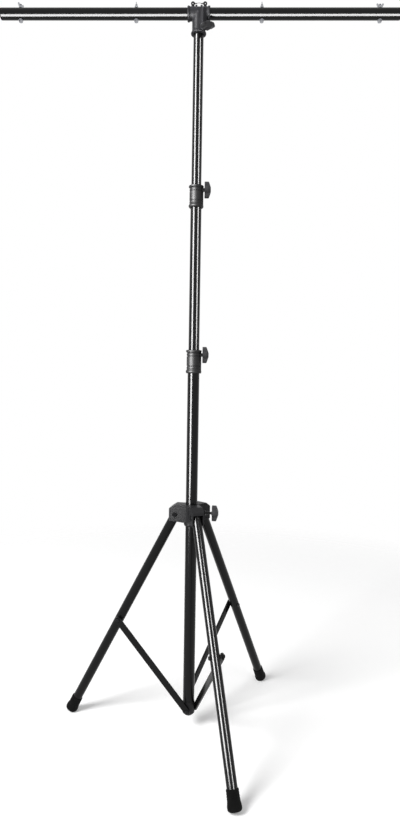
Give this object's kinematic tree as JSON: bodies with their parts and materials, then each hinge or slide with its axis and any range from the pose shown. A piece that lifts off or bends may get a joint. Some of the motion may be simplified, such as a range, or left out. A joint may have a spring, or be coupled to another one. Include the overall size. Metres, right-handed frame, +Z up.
{
  "type": "lighting t-bar stand",
  "caption": "Folding tripod with a telescopic mast, clamp collars and a T-bar carrying hanger bolts with wing nuts, for hanging stage lamps",
  "frame": {"origin": "on the floor, on the axis of the mast, which is the middle of the bounding box seen from above", "axes": "+Z up the mast; one leg points along -X, the other two at 60 degrees either side of +X; the crossbar runs 9.7 degrees anticlockwise of +X, as pictured"},
  "size_m": [1.1346, 0.699, 2.1529],
  "materials": {
    "glossy black steel tube": "gloss black powder coat",
    "dark grey moulding": "matte dark grey, fine grain",
    "knob plastic": "satin black",
    "rubber": "matte black",
    "zinc": "bright zinc plate",
    "black steel": "satin black"
  },
  "bodies": {
    "column": {"main_tube": "glossy black steel tube", "base_hub": "dark grey moulding", "lower_collar": "dark grey moulding", "brace_lower_bolt_left": "black steel", "brace_lower_bolt_back": "black steel", "brace_lower_bolt_front": "black steel"},
    "leg_collar": {"leg_housing": "dark grey moulding", "leg_pin_left": "black steel", "leg_nut_left": "zinc", "leg_pin_back": "black steel", "leg_nut_back": "zinc", "leg_pin_front": "black steel", "leg_nut_front": "zinc"},
    "leg_left": {"leg_tube_left": "glossy black steel tube", "foot_cap_left": "rubber", "brace_stud_left": "zinc"},
    "leg_back": {"leg_tube_back": "glossy black steel tube", "foot_cap_back": "rubber", "brace_stud_back": "zinc"},
    "leg_front": {"leg_tube_front": "glossy black steel tube", "foot_cap_front": "rubber", "brace_stud_front": "zinc"},
    "brace_left": {"brace_left": "glossy black steel tube", "brace_upper_bolt_left": "black steel"},
    "brace_back": {"brace_back": "glossy black steel tube", "brace_upper_bolt_back": "black steel"},
    "brace_front": {"brace_front": "glossy black steel tube", "brace_upper_bolt_front": "black steel"},
    "middle_section": {"middle_tube": "glossy black steel tube", "middle_guide": "dark grey moulding", "upper_collar": "dark grey moulding"},
    "top_section": {"top_tube": "glossy black steel tube", "top_guide": "dark grey moulding"},
    "t_head": {"t_fitting": "dark grey moulding", "crossbar_left": "glossy black steel tube", "end_cap_left": "knob plastic", "hanger_bolt_left_inner": "zinc", "hanger_bolt_left_outer": "zinc", "crossbar_right": "glossy black steel tube", "end_cap_right": "knob plastic", "hanger_bolt_right_inner": "zinc", "hanger_bolt_right_outer": "zinc"},
    "lock_pins": {"lock_pin_left": "black steel", "lock_pin_right": "black steel", "pin_tether": "black steel"},
    "wing_nut_left_inner": {"wing_nut_left_inner": "zinc"},
    "wing_nut_left_outer": {"wing_nut_left_outer": "zinc"},
    "wing_nut_right_inner": {"wing_nut_right_inner": "zinc"},
    "wing_nut_right_outer": {"wing_nut_right_outer": "zinc"},
    "housing_clamp": {"housing_knob": "knob plastic", "housing_stud": "zinc"},
    "lower_collar_clamp": {"lower_collar_knob": "knob plastic", "lower_collar_stud": "zinc"},
    "upper_collar_clamp": {"upper_collar_knob": "knob plastic", "upper_collar_stud": "zinc"},
    "head_clamp": {"head_knob": "knob plastic", "head_stud": "zinc"}
  },
  "joints": [
    {"name": "leg_slide", "type": "slide", "parent": "column", "child": "leg_collar", "axis": [0, 0, 1], "range_m": [0, 0.1205]},
    {"name": "leg_fold_left", "type": "hinge", "parent": "leg_collar", "child": "leg_left", "pos_m": [-0.0477, 0, 0.66397], "axis": [0, -1, 0], "range_deg": [-0.05, 27.3]},
    {"name": "leg_fold_back", "type": "hinge", "parent": "leg_collar", "child": "leg_back", "pos_m": [0.02385, 0.04131, 0.66397], "axis": [-0.866, 0.5, 0], "range_deg": [-0.05, 27.3]},
    {"name": "leg_fold_front", "type": "hinge", "parent": "leg_collar", "child": "leg_front", "pos_m": [0.02385, -0.04131, 0.66397], "axis": [0.866, 0.5, 0], "range_deg": [-0.05, 27.3]},
    {"name": "brace_fold_left", "type": "hinge", "parent": "column", "child": "brace_left", "pos_m": [0, 0, 0.058], "axis": [0, -1, 0], "range_deg": [-32.3, 0.05]},
    {"name": "brace_fold_back", "type": "hinge", "parent": "column", "child": "brace_back", "pos_m": [0, 0, 0.058], "axis": [-0.866, 0.5, 0], "range_deg": [-32.3, 0.05]},
    {"name": "brace_fold_front", "type": "hinge", "parent": "column", "child": "brace_front", "pos_m": [0, 0, 0.058], "axis": [0.866, 0.5, 0], "range_deg": [-32.3, 0.05]},
    {"name": "middle_slide", "type": "slide", "parent": "column", "child": "middle_section", "axis": [0, 0, 1], "range_m": [-0.4, 0.39]},
    {"name": "top_slide", "type": "slide", "parent": "middle_section", "child": "top_section", "axis": [0, 0, 1], "range_m": [-0.395, 0.42]},
    {"name": "head_swivel", "type": "hinge", "parent": "top_section", "child": "t_head", "pos_m": [0, 0, 2.071], "axis": [0, 0, 1], "continuous": true},
    {"name": "pin_lift", "type": "slide", "parent": "t_head", "child": "lock_pins", "axis": [0, 0, 1], "range_m": [0, 0.014]},
    {"name": "housing_clamp_turn", "type": "hinge", "parent": "leg_collar", "child": "housing_clamp", "pos_m": [0.0634, 0, 0.67097], "axis": [1, 0, 0], "range_deg": [0, 540]},
    {"name": "lower_collar_clamp_turn", "type": "hinge", "parent": "column", "child": "lower_collar_clamp", "pos_m": [0.02531, 0.00446, 1.144], "axis": [0.9848, 0.1736, 0], "range_deg": [0, 540]},
    {"name": "upper_collar_clamp_turn", "type": "hinge", "parent": "middle_section", "child": "upper_collar_clamp", "pos_m": [0.02383, 0.0042, 1.624], "axis": [0.9848, 0.1736, 0], "range_deg": [0, 540]},
    {"name": "head_clamp_turn", "type": "hinge", "parent": "t_head", "child": "head_clamp", "pos_m": [0.02556, -0.01926, 2.071], "axis": [0.7986, -0.6018, 0], "range_deg": [0, 540]},
    {"name": "wing_nut_left_inner_turn", "type": "hinge", "parent": "t_head", "child": "wing_nut_left_inner", "pos_m": [-0.17743, -0.03033, 2.1405], "axis": [0, 0, 1], "range_deg": [0, 720]},
    {"name": "wing_nut_left_outer_turn", "type": "hinge", "parent": "t_head", "child": "wing_nut_left_outer", "pos_m": [-0.50764, -0.08677, 2.1405], "axis": [0, 0, 1], "range_deg": [0, 720]},
    {"name": "wing_nut_right_inner_turn", "type": "hinge", "parent": "t_head", "child": "wing_nut_right_inner", "pos_m": [0.17743, 0.03033, 2.1405], "axis": [0, 0, 1], "range_deg": [0, 720]},
    {"name": "wing_nut_right_outer_turn", "type": "hinge", "parent": "t_head", "child": "wing_nut_right_outer", "pos_m": [0.50764, 0.08677, 2.1405], "axis": [0, 0, 1], "range_deg": [0, 720]}
  ],
  "couplings": [
    {"joint": "leg_fold_left", "follows": "leg_slide", "rad_per_m": 3.9397},
    {"joint": "leg_fold_back", "follows": "leg_slide", "rad_per_m": 3.9397},
    {"joint": "leg_fold_front", "follows": "leg_slide", "rad_per_m": 3.9397},
    {"joint": "brace_fold_left", "follows": "leg_slide", "rad_per_m": -4.6623},
    {"joint": "brace_fold_back", "follows": "leg_slide", "rad_per_m": -4.6623},
    {"joint": "brace_fold_front", "follows": "leg_slide", "rad_per_m": -4.6623}
  ]
}
